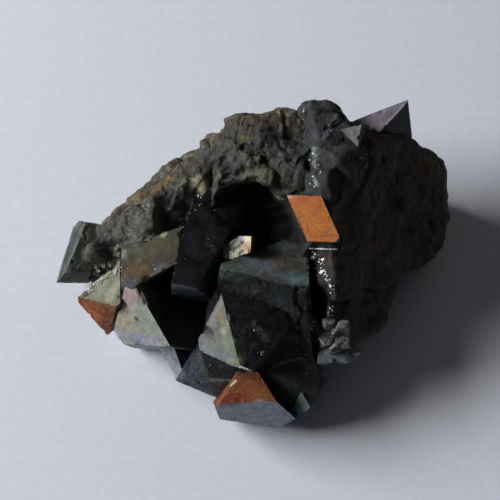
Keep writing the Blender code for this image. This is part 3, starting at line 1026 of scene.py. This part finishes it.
CUBE = np.array(list(np.ndindex(2, 2, 2))) - 0.5
CUBE_TRIANGLES = np.array([(0, 1, 3), (0, 3, 2), (4, 6, 7), (4, 7, 5), (0, 4, 5), (0, 5, 1),
                           (2, 3, 7), (2, 7, 6), (0, 2, 6), (0, 6, 4), (1, 5, 7), (1, 7, 3)])
JITTER = 0.17          # how far a corner moves, in grain sizes
GRAIN_WIDTH = 0.75     # width for a length of 1
GRAIN_LIFT = 0.15      # how far the middle lies above the surface, for a thickness of 1
GRAIN_SHARP = 20       # degrees
TABLE_GAP = 0.05       # mm that grains stay above the table


def grains(name, seats, sizes, material, node, seed, flatness):
    """Irregular blocks joined in one mesh: seat + turned (size x (cube corner + jitter))."""
    draw = np.random.default_rng(seed)
    count = len(seats)
    spots = np.array([spot for spot, _ in seats])
    normals = np.array([normal for _, normal in seats])
    side = np.cross(normals, draw.normal(size=(count, 3)))
    side /= np.linalg.norm(side, axis=1, keepdims=True)
    axes = np.stack([side, np.cross(normals, side), normals], 1)
    size = np.asarray(sizes, dtype=float)[:, None, None]
    shape = CUBE + draw.uniform(-JITTER, JITTER, (count, 8, 3))
    shape = shape * np.array([1.0, GRAIN_WIDTH, flatness]) * size
    corners = spots[:, None] + np.einsum("nki,nij->nkj", shape, axes)
    corners += normals[:, None] * size * flatness * GRAIN_LIFT
    corners[..., 2] = np.clip(corners[..., 2], TABLE_GAP, None)
    triangles = (CUBE_TRIANGLES + np.arange(count)[:, None, None] * 8).reshape(-1, 3)
    made = skin(name, corners.reshape(-1, 3), triangles, weld=0.0)
    made.data.materials.append(material)
    finish_piece(made, [node], GRAIN_SHARP)


print("a grain has", len(CUBE_TRIANGLES), "triangles")

# %% [markdown]
# ## Stains, painted shade and highlights, cracks and chips
# A stain has a line that it follows, given by two places in the frame, then a half width in
# mm, a colour and a strength from 0 to 1. Some marks are not stains but painted shade and
# painted highlights, noted where they stand. A crack or chip also has a depth in mm by which it
# is cut in, and a raised spot a negative one. The points near the line take the colour as
# attributes, which the materials lay over their own, and move towards the piece's middle.

# %% Marks

EDGE_WAVE = 0.45          # how far a stain's width strays, as a share
LEAST_WAVE = 0.8          # mm, least length over which it does
STAIN_SOFTNESS = 1.6      # how gently a stain's edge fades, in widths
CUT_SOFTNESS = 0.5        # how gently a cut's wall slopes, in widths
STAIN_SEED = 200
MARKED = 0.05             # weight from which a point counts as marked
LEAST_WEIGHT = 1e-6       # keeps the division safe where there is no stain


def mark(piece, marks):
    """Lay stains, painted shade and painted highlights on a piece, and cut it:
    weight = smooth step of (width - distance to the line).

    The width varies with noise, and a later stain goes over an earlier one.
    """
    where = np.empty(len(piece.data.vertices) * 3)
    piece.data.vertices.foreach_get("co", where)
    where = where.reshape(-1, 3) / MM
    inward = (where.min(0) + where.max(0)) / 2 - where
    inward /= np.linalg.norm(inward, axis=1, keepdims=True)
    weight = np.zeros(len(where))
    colour = np.zeros((len(where), 4))
    sink = np.zeros(len(where))
    for number, (start, end, width, shade, strength, *depth) in enumerate(marks):
        ends = seats_along((start, end))
        if len(ends) < 2:
            continue
        (first, _), (last, _) = ends
        line = last - first
        along = np.clip((where - first) @ line / max(line @ line, TINY), 0, 1)
        distance = np.linalg.norm(where - first - along[:, None] * line, axis=1)
        wave = layered(where, max(width, LEAST_WAVE), 3, STAIN_SEED + number)
        inside = width * (1 + EDGE_WAVE * wave) - distance
        new = smooth_step(inside / (STAIN_SOFTNESS * width) + 0.5) * strength
        colour = colour * (1 - new[:, None]) + np.array(linear(shade)) * new[:, None]
        weight = weight + new - weight * new
        sink += smooth_step(inside / (CUT_SOFTNESS * width) + 0.5) * sum(depth)
    colour /= np.maximum(weight, LEAST_WEIGHT)[:, None]
    colour[:, 3] = 1
    for label, kind, key, values in (("stain_and_painted_light", "FLOAT", "value", weight),
                                     ("stain_and_painted_light_colour", "FLOAT_COLOR", "color", colour)):
        attribute = piece.data.attributes.new(label, kind, "POINT")
        attribute.data.foreach_set(key, values.astype(np.float32).ravel())
    where = (where + inward * sink[:, None]) * MM
    where[:, 2] = np.maximum(where[:, 2], 0)
    piece.data.vertices.foreach_set("co", where.ravel())
    piece.data.update()
    print(piece.name, "marked:", int((weight > MARKED).sum()), "points")


def mark_pieces(names, marks):
    """Give the named pieces the same marks, one piece after another."""
    for name in names:
        mark(bpy.data.objects[name], marks)
    bpy.context.view_layer.update()


# %% [markdown]
# The pale films are pinkish, greenish or brownish in places, and a few fine cracks and a
# broken corner show the dark beneath.

# %% Marks on the pale left and middle crystals

PALE_LEFT_MARKS = [
    ((122, 296), (134, 293), 1.6, "#a07a7e", 0.75),
    ((118, 312), (127, 326), 1.8, "#8a845c", 0.6),
    ((138, 305), (150, 328), 1.6, "#78866e", 0.6),
    ((126, 284), (134, 288), 1.0, "#8e9a90", 0.6),
    ((136, 318), (137, 320), 0.35, "#2c2c28", 0.9),
    ((117, 333), (157, 342), 0.9, "#83849a", 0.7),
    ((137, 286), (146, 303), 0.3, "#1c1e1e", 0.8, 0.25),
]
mark_pieces(["pale_left_crystal"], PALE_LEFT_MARKS)

PALE_MIDDLE_MARKS = [
    ((218, 311), (222, 321), 0.7, "#83703c", 0.6),
    ((229, 340), (237, 358), 1.5, "#646e50", 0.6),
    ((203, 345), (212, 356), 1.6, "#656b72", 0.7),
    ((212, 318), (221, 303), 0.5, "#82837c", 0.6),
    ((203, 330), (210, 333), 0.9, "#26282a", 0.9, 0.7),
    ((222, 332), (228, 326), 0.7, "#8f8a70", 0.5),
    ((238, 330), (246, 345), 1.6, "#2e3230", 0.7, 0.1),
    ((255, 325), (264, 337), 0.7, "#5c5e5c", 0.8),
]
mark_pieces(["pale_middle_crystal"], PALE_MIDDLE_MARKS)

# %% [markdown]
# The green and the olive crystal are brown where oxide has run, and a dark gap runs along an
# edge of each. The black one in the middle has a few broad films, scratches, and painted shade
# in a deep gap where it meets its neighbour.

# %% Marks on the green, olive and black crystals

GREEN_AND_RUST_MARKS = [
    ((88, 297), (115, 303), 0.7, "#66603f", 0.8),
    ((94, 271), (106, 264), 0.8, "#a98e60", 0.8),
    ((86, 294), (94, 271), 0.5, "#0b0b0a", 1.0, 0.5),
    ((98, 290), (108, 274), 1.6, "#7e8a72", 0.5),
    ((110, 296), (118, 284), 1.0, "#9a9878", 0.6),
    ((110, 312), (106, 330), 0.9, "#4a2413", 0.7, 0.1),
    ((86, 306), (96, 316), 0.9, "#a05a22", 0.6),
]
mark_pieces(["green_and_rust_crystal"], GREEN_AND_RUST_MARKS)

OLIVE_TOP_MARKS = [
    ((127, 270), (146, 272), 1.4, "#5e4220", 0.7),
    ((160, 268), (177, 262), 1.2, "#56525a", 0.8),
    ((163, 231), (165, 234), 0.6, "#9fb08c", 0.95, -0.2),
    ((121, 249), (147, 240), 0.35, "#0a0b0a", 1.0, 0.45),
    ((140, 255), (165, 244), 2.0, "#56502a", 0.5),
    ((124, 256), (136, 250), 1.2, "#4c4e3a", 0.6),
]
mark_pieces(["olive_top_crystal"], OLIVE_TOP_MARKS)

BLACK_MIDDLE_MARKS = [
    ((296, 280), (309, 281), 1.7, "#638581", 0.9),
    ((276, 254), (293, 264), 2.2, "#5c4e3f", 0.65),
    ((224, 266), (247, 268), 1.6, "#52655a", 0.75),
    ((255, 262), (268, 268), 1.8, "#666d76", 0.75),
    ((284, 246), (300, 243), 1.2, "#6e7a82", 0.8),
    ((236, 300), (248, 292), 1.6, "#3c322b", 0.7, 0.1),
    ((268, 300), (292, 320), 2.0, "#262b2c", 0.7, 0.2),
    ((300, 288), (262, 281), 0.5, "#121414", 0.9, 0.4),
    ((234, 292), (246, 306), 1.0, "#30363a", 0.7, 0.1),
    ((262, 306), (276, 300), 1.2, "#2b3133", 0.6, 0.1),
    ((270, 335), (296, 350), 1.8, "#232a28", 0.7, 0.2),
    # painted shade in the deep gap at its right edge, also cut in
    ((309, 296), (311, 352), 2.0, "#0b0c0c", 0.85, 0.8),
    ((280, 372), (300, 366), 1.6, "#26302c", 0.7, 0.3),
]
mark_pieces(["black_middle_crystal"], BLACK_MIDDLE_MARKS)

# %% [markdown]
# Rust is redder, browner or paler from place to place. The dark lines on the left tip are its
# growth lines. The pale grain is stained yellow-brown and has small dark chips, with painted
# shade over its upper left and a painted highlight along its lower left edge.

# %% Marks on the rusty and streaky crystals

RUST_TOPPED_MARKS = [
    ((221, 403), (242, 398), 1.1, "#6e2814", 0.8),
    ((231, 386), (236, 381), 0.18, "#e0d098", 0.95, -0.1),
    ((243, 372), (250, 378), 0.9, "#3a2c1c", 0.7),
    ((248, 385), (262, 394), 1.1, "#7a4a1c", 0.7),
    ((222, 412), (262, 402), 0.5, "#8d8ea0", 0.6),
]
mark_pieces(["rust_topped_crystal"], RUST_TOPPED_MARKS)

STREAKY_TIP_MARKS = [
    ((84, 230), (74, 266), 1.0, "#20251f", 0.8, 0.15),
    ((92, 226), (88, 262), 1.2, "#2a2e20", 0.8, 0.1),
    ((72, 232), (61, 274), 1.8, "#39413d", 0.7),
    ((78, 240), (68, 272), 0.35, "#6a726c", 0.7),
    ((77, 232), (66, 262), 0.5, "#121614", 0.9, 0.15),
    ((70, 244), (61, 276), 0.4, "#161a18", 0.9, 0.15),
    ((73, 262), (68, 278), 0.4, "#141816", 0.9, 0.15),
    ((80, 226), (74, 236), 0.9, "#1d211e", 0.9, 0.1),
    ((72, 228), (90, 226), 0.5, "#2a2e28", 0.7, 0.1),
    ((70, 226), (92, 223), 0.6, "#6a6a50", 0.7),
]
mark_pieces(["streaky_tip_crystal"], STREAKY_TIP_MARKS)

ORANGE_MARKS = [
    # painted highlight along the top edge
    ((289, 197), (322, 196), 0.35, "#c0a892", 0.8),
    ((298, 222), (302, 230), 0.7, "#7a4214", 0.6, 0.3),
    ((290, 204), (294, 214), 0.6, "#8a4a1a", 0.5, 0.1),
    ((296, 200), (318, 204), 1.0, "#a8562a", 0.5),
    ((305, 215), (320, 225), 1.8, "#a8641c", 0.5),
    # painted highlight along the bottom edge
    ((318, 243), (334, 246), 0.4, "#caa27e", 0.8),
]
mark_pieces(["orange_crystal"], ORANGE_MARKS)

YELLOW_GRAIN_MARKS = [
    ((242, 243), (250, 251), 1.1, "#a0742c", 0.9),
    # painted highlight along the lower left edge
    ((226, 257), (233, 254), 0.7, "#d2d8b8", 0.9),
    ((246, 237), (250, 240), 0.6, "#c9c19c", 0.8),
    # painted shade over the upper left, also cut in a little
    ((232, 246), (240, 240), 0.9, "#33373a", 0.9, 0.2),
    ((234, 251), (243, 242), 0.3, "#3c3424", 0.9, 0.1),
    ((244, 253), (236, 258), 0.6, "#6a4a20", 0.8, 0.2),
]
mark_pieces(["yellow_grain"], YELLOW_GRAIN_MARKS)

# %% [markdown]
# The low crystals have thin grey films. The back one has paler blue-grey patches, partly film
# and partly painted highlight, and painted shade along its lower edge. The dark mass carries
# painted shade along its seams, beside the orange crystal and on its left side, which faces the
# lamp, with a painted highlight streak there, and a small rusty lump stands out near its right
# end. The violet-grey crystal's right face and the small corner crystal carry painted shade,
# and a painted highlight runs along the violet-grey ridge.

# %% Marks on the dark crystals and the mass

LOW_CRYSTAL_MARKS = [
    ((196, 378), (215, 392), 0.8, "#2a3440", 0.8),
    ((205, 362), (222, 372), 1.6, "#4a4034", 0.7),
    ((184, 362), (192, 372), 1.4, "#39404a", 0.7),
    ((190, 352), (198, 356), 1.2, "#57585a", 0.7),
]
mark_pieces(["low_middle_crystal", "low_left_crystal"], LOW_CRYSTAL_MARKS)

MASS_MARKS = [
    # painted shade over the left side, which faces the lamp, and a shallow cut
    ((314, 150), (320, 190), 3.2, "#131715", 0.95, 0.3),
    # painted highlight streak
    ((312, 152), (316, 184), 0.45, "#8d978c", 0.8),
    # painted shade along a seam, also cut in
    ((322, 142), (334, 190), 2.0, "#121514", 0.9, 0.5),
    ((427, 248), (440, 258), 1.6, "#5a4022", 0.8, -0.8),
    # painted shade along the orange crystal's right side, also cut in
    ((308, 196), (334, 246), 1.5, "#141513", 0.9, 0.6),
    # painted shade in the pocket at the orange crystal's lower left
    ((290, 215), (300, 240), 4.0, "#0c0d0d", 0.95),
    # painted shade below the orange crystal, also cut in
    ((306, 256), (326, 285), 4.2, "#0b0b0c", 0.97, 0.3),
    # painted shade in the gap by the quartz lumps
    ((318, 300), (330, 345), 3.0, "#111212", 0.9, 0.2),
]
mark_pieces(["right_mass_upper", "right_mass_lower"], MASS_MARKS)

BLACK_BACK_MARKS = [
    # the next five: paler blue-grey patches, partly film and partly painted highlight
    ((204, 214), (214, 236), 1.3, "#7d8894", 0.7),
    ((196, 200), (200, 212), 0.8, "#788089", 0.7),
    ((190, 236), (198, 254), 1.3, "#68747f", 0.7),
    ((218, 206), (224, 214), 0.7, "#9aa4af", 0.7),
    ((208, 244), (214, 250), 0.7, "#8c949e", 0.7),
    ((176, 270), (190, 280), 1.2, "#4f565c", 0.6),
    ((186, 262), (206, 268), 0.9, "#3a3a38", 0.7, 0.2),
    # painted shade along the lower edge
    ((170, 292), (208, 297), 1.3, "#050606", 0.95),
]
mark_pieces(["black_back_crystal"], BLACK_BACK_MARKS)

SMALL_CORNER_MARKS = [
    # painted shade that dims the lamp's reflection on this face
    ((341, 130), (345, 136), 2.6, "#222726", 0.92),
    ((338, 129), (343, 127), 0.6, "#3c3440", 0.7),
]
mark_pieces(["small_corner_crystal"], SMALL_CORNER_MARKS)

CREST_MARKS = [
    ((308, 122), (318, 146), 2.6, "#151816", 0.75),
    ((318, 132), (340, 138), 1.4, "#3c3542", 0.8),
    ((306, 120), (316, 110), 1.4, "#1e2220", 0.7),
    ((336, 120), (345, 124), 1.0, "#55605c", 0.6),
]
mark_pieces(["crest_crystal"], CREST_MARKS)

VIOLET_GREY_MARKS = [
    # painted shade on the right face, which faces away from the lamp
    ((402, 122), (396, 136), 2.6, "#050607", 0.9),
    ((372, 120), (388, 116), 1.3, "#4c3c40", 0.7),
    # painted highlight along the ridge from the tip
    ((404, 106), (386, 125), 0.25, "#8a8690", 0.8),
]
mark_pieces(["violet_grey_crystal"], VIOLET_GREY_MARKS)

# %% [markdown]
# The rock is olive and yellow-brown in patches, greener or darker in others, and black in the
# cracks between its blocks. Deep in the middle hollow it carries painted shade, and a painted
# highlight streak runs down near its right end.

# %% Marks on the rock

ROCK_MARKS = [
    ((186, 191), (204, 182), 1.5, "#8a8768", 0.9, -0.3),
    ((113, 211), (150, 192), 1.3, "#6e6034", 0.8),
    ((150, 190), (200, 164), 1.0, "#5c4c2a", 0.8),
    ((128, 203), (134, 199), 0.5, "#a9a080", 0.9),
    ((199, 194), (201, 197), 0.35, "#7c2a1c", 0.9),
    ((212, 132), (262, 128), 2.8, "#211f16", 0.75),
    ((208, 158), (232, 164), 2.6, "#262827", 0.7),
    ((262, 132), (298, 150), 3.0, "#171d1b", 0.8, 0.2),
    ((284, 158), (300, 172), 2.4, "#1f2826", 0.7),
    ((236, 172), (262, 184), 2.2, "#2f3123", 0.7),
    ((220, 178), (238, 186), 1.6, "#1a1d1b", 0.7),
    ((230, 118), (288, 123), 0.8, "#46321d", 0.8),
    ((234, 138), (246, 152), 1.3, "#4e4f2c", 0.8),
    ((260, 160), (268, 180), 1.3, "#42452b", 0.8),
    ((206, 174), (220, 176), 0.9, "#5c5d50", 0.7),
    # this and the next two: painted shade deep in the middle hollow, also cut in
    ((240, 205), (290, 225), 4.5, "#070808", 0.97, 0.8),
    ((228, 200), (232, 230), 2.4, "#070808", 0.95, 0.6),
    ((275, 235), (292, 232), 2.2, "#070808", 0.95, 0.6),
    ((228, 128), (240, 142), 2.2, "#44442a", 0.7),
    ((254, 178), (264, 190), 1.6, "#50523a", 0.8),
    ((222, 160), (228, 170), 0.9, "#0a0b0a", 0.9, 0.9),
    ((244, 147), (256, 152), 0.9, "#0a0b0a", 0.9, 0.8),
    ((264, 156), (272, 166), 0.9, "#0a0b0a", 0.9, 0.8),
    ((262, 190), (308, 166), 1.0, "#0a0c0b", 0.95, 1.2),
    ((186, 204), (178, 234), 0.9, "#0c0d0c", 0.9, 0.9),
    ((150, 212), (176, 222), 2.2, "#3a3e33", 0.6),
    # painted highlight streak
    ((313, 150), (317, 180), 0.6, "#8a9a94", 0.7),
    ((229, 131), (256, 126), 2.0, "#2a2015", 0.75),
    ((228, 142), (240, 150), 2.4, "#1d241e", 0.7),
    ((243, 137), (246, 139), 0.4, "#6c6a34", 0.6),
    ((265, 120), (294, 124), 1.2, "#3a2718", 0.75),
    ((181, 170), (191, 164), 0.9, "#54362a", 0.6),
    ((134, 201), (168, 182), 1.1, "#7c6230", 0.75),
    ((176, 190), (188, 198), 1.5, "#77786e", 0.6),
]
mark_pieces(["matrix_rock_left", "matrix_rock_right"], ROCK_MARKS)

# %% [markdown]
# ## Quartz lumps
# Larger quartz grains show facets, so each is a small lump of its own, made in the same way
# as the rock but within random planes. Three flatter ones lie as a ledge below the others.

# %% Quartz lumps

PEBBLE_CUTS = 9             # random planes that a lump is broken along
CUT_REACH = (0.55, 0.9)     # nearest and furthest of them, in half sizes
BOX_CUTS = [(azimuth, 0, 1.0) for azimuth in (0, 90, 180, 270)] + [(0, 90, 0.8), (0, -90, 0.8)]
PEBBLE_NOISE = 0.05         # share by which noise roughens it
PEBBLE_ROUGH = (0.8, 3)     # size of that noise in half sizes, and its octaves
PEBBLE_LIFT = 0.12          # how far its middle lies above the surface, in sizes
PEBBLE_GRID = 26            # points along each side of a sheet
PEBBLE_UNEVEN = (0.75, 1.25)    # least and most that an axis is stretched
PEBBLE_SHARP = 28           # degrees


def pebbles(name, seats, sizes, material, node, seed, stretch=(1, 1, 1)):
    """Broken grains with many facets: seat + u x size x (p-norm of random planes + noise)."""
    draw = np.random.default_rng(seed)
    towards = cube_directions(PEBBLE_GRID).reshape(-1, 3)
    points, quads = [], []
    for number, ((spot, normal), size) in enumerate(zip(seats, sizes)):
        cuts = [(draw.uniform(0, 360), math.degrees(math.asin(draw.uniform(-1, 1))),
                 draw.uniform(*CUT_REACH)) for _ in range(PEBBLE_CUTS)]
        radius, _ = lump_surface(towards, cuts + BOX_CUTS)
        radius = radius * (1 + PEBBLE_NOISE * layered(towards + number * 7, *PEBBLE_ROUGH, seed))
        shape = towards * (radius * size / 2)[:, None] * draw.uniform(*PEBBLE_UNEVEN, 3)
        points.append(spot + normal * size * PEBBLE_LIFT + shape * np.array(stretch))
        quads.append(cube_quads(PEBBLE_GRID) + number * len(towards))
    points = np.concatenate(points)
    points[:, 2] = np.maximum(points[:, 2], TABLE_GAP)
    made = skin(name, points, np.concatenate(quads))
    made.data.materials.append(material)
    finish_piece(made, [node], PEBBLE_SHARP)


LEDGE_PLACES = [(330, 354), (338, 354), (346, 351)]
LEDGE_SIZES = [4.2, 5.4, 4.2]     # mm
QUARTZ_PLACES = [(317, 330), (323, 336), (317, 340), (337, 332), (338, 341), (337, 349),
                 (329, 324), (329, 343), (311, 323)]
QUARTZ_SIZES = [5.4, 5.6, 4.4, 4.0, 4.4, 3.8, 3.0, 3.0, 2.4]     # mm

pebbles("blue_grey_ledge", seats_along(LEDGE_PLACES), LEDGE_SIZES, LEDGE,
        "right_mass", 112, stretch=(1.25, 0.9, 0.6))
pebbles("quartz_lumps", seats_along(QUARTZ_PLACES), QUARTZ_SIZES, QUARTZ,
        "right_mass", 102)

# %% [markdown]
# ## Glitter and crust
# The smallest grains are broken quartz in the seams and on faces, near white so that they stand
# for painted glints, and a crust of carbonate where the left crystals meet. Two groups line
# edges as painted highlights. Each group is scattered round its places with seeded noise. With
# a power of 2 most grains are small and a few large, as when rock crumbles.

# %% Glitter and crust

SEAM_GLINTS = [(315, 254), (320, 260), (322, 266), (324, 272), (325, 274), (327, 279), (330, 285),
               (332, 289), (329, 307), (330, 312), (312, 327)]
# painted highlight along the orange crystal's lower edge
LEDGE_HIGHLIGHT_LINE = [(309 + 0.5 * k, 248.3 + 0.02 * k) for k in range(58)]
FACE_GLINTS = [(115.7, 248), (119, 254.5), (155.5, 267), (195, 211), (222, 213), (210, 245),
               (217, 213), (149, 208), (313, 155), (149, 209), (222, 215), (199, 205),
               (316, 165), (315, 175), (312, 183), (200, 195), (305, 112), (332, 127),
               (180, 228), (205, 362), (262, 352), (338, 247),
               (190, 262), (252, 330), (282, 312), (296, 330)]
# painted highlight along the rusty crystal's top edge
RUST_EDGE = [(240 + 0.9 * k, 366.8 + 0.3 * k) for k in range(13)]
CRUST_PLACES = [(86, 295), (88, 292), (91, 289), (94, 286), (97, 284), (100, 281), (103, 279),
                (107, 277), (111, 274), (115, 271), (119, 269), (119, 262), (118, 254), (116, 248),
                (96, 270), (103, 266), (110, 264)]


def scattered(places, count, spread, seed):
    """Seats round each place: its column and row plus normal noise of spread pixels."""
    draw = np.random.default_rng(seed)
    chosen = np.array(places, dtype=float)[draw.integers(0, len(places), count)]
    return seats_along(chosen + draw.normal(0, spread, (count, 2)))


# name, places, grains, spread in pixels, sizes in mm, power, material, node, seeds, flatness
GROUPS = [
    ("seam_glints", SEAM_GLINTS, 85, 1.9, (0.08, 0.5), 2, GLINT, "right_mass", (103, 101), 0.6),
    ("ledge_highlight_line", LEDGE_HIGHLIGHT_LINE, 90, 0.08, (0.2, 0.3), 1, GLINT, "orange_faced_crystal",
     (111, 113), 0.6),
    ("face_glints", FACE_GLINTS, 80, 2.4, (0.07, 0.37), 2, GLINT, "matrix_rock", (105, 106), 0.6),
    ("rust_edge_glints", RUST_EDGE, 50, 0.25, (0.18, 0.32), 1, GLINT, "bottom_crystal",
     (107, 108), 0.6),
    ("carbonate_crust", CRUST_PLACES, 150, 1.2, (0.2, 0.6), 1, CARBONATE, "rusty_left_crystal",
     (109, 110), 0.5),
]
size_draw = np.random.default_rng(104)
for name, places, count, spread, (least, most), power, material, node, seeds, flatness in GROUPS:
    seats = scattered(places, count, spread, seeds[0])
    sizes = least + (most - least) * size_draw.random(len(seats))**power
    grains(name, seats, sizes, material, node, seeds[1], flatness)

# %% [markdown]
# ## Size against the frame
# The finished model should be as large as the frame, so both boxes are written down side by
# side.

# %% Size against the frame

visual_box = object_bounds()
for label, box in (("frame", cad_box), ("visual", visual_box)):
    print(label, [round((high - low) / MM, 1) for low, high in zip(*box)])
